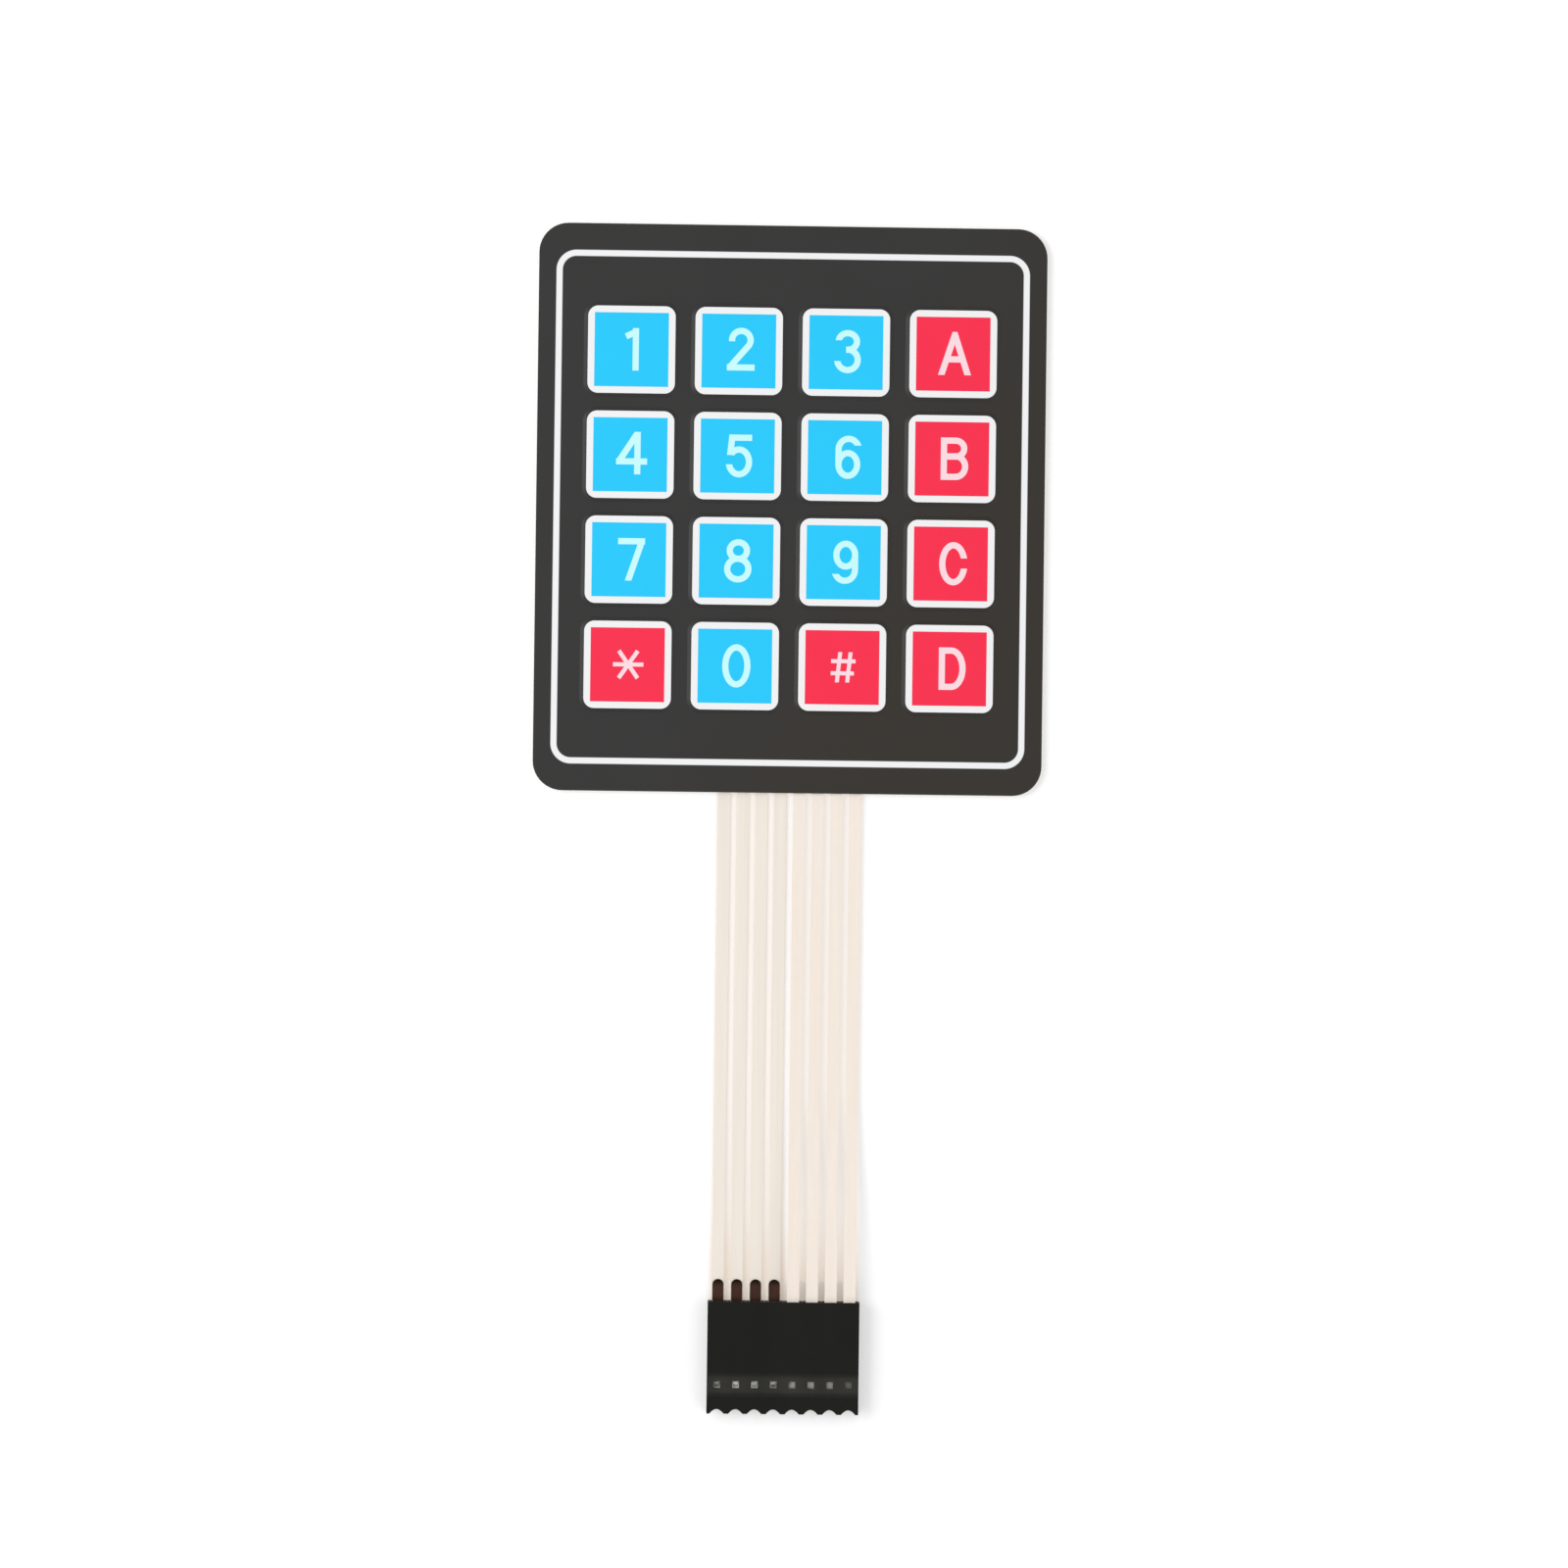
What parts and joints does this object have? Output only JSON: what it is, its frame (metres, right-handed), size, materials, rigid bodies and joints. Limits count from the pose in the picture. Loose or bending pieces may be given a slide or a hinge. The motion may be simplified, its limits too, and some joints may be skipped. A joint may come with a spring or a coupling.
{
  "type": "membrane keypad",
  "caption": "Thin laminated membrane keypad with embossed printed keys in a square grid, a split flat film tail and a crimped socket connector for reading a key matrix.",
  "frame": {"origin": "middle of the keypad's rear face, which lies on the surface below", "axes": "+Z out of the pressed face, +Y towards the keypad's top, +X to the right seen from the front, tail towards -Y"},
  "size_m": [0.069, 0.1609, 0.0028],
  "materials": {
    "overlay_film": "fine matt texture",
    "white_print": "matt ink",
    "blue_print": "matt ink",
    "red_print": "matt ink",
    "adhesive": "tacky film",
    "circuit_film": "satin",
    "conductive_ink": "dried metal-loaded ink",
    "liner_paper": "smooth coated paper",
    "housing_plastic": "moulded",
    "contact_metal": "dull tinned"
  },
  "bodies": {
    "root": {"graphic_overlay": "overlay_film", "border_line_print": "white_print", "key_frame_print": "white_print", "number_key_print": "blue_print", "function_key_print": "red_print", "overlay_adhesive": "adhesive", "upper_circuit_film": "circuit_film", "column_trace_1": "conductive_ink", "column_trace_2": "conductive_ink", "column_trace_3": "conductive_ink", "column_trace_4": "conductive_ink", "circuit_spacer": "adhesive", "row_trace_1": "conductive_ink", "row_trace_2": "conductive_ink", "row_trace_3": "conductive_ink", "row_trace_4": "conductive_ink", "lower_circuit_film": "circuit_film", "rear_adhesive": "adhesive", "release_liner": "liner_paper", "connector_housing": "housing_plastic", "contact_1": "contact_metal", "contact_2": "contact_metal", "contact_3": "contact_metal", "contact_4": "contact_metal", "contact_5": "contact_metal", "contact_6": "contact_metal", "contact_7": "contact_metal", "contact_8": "contact_metal"}
  },
  "joints": []
}
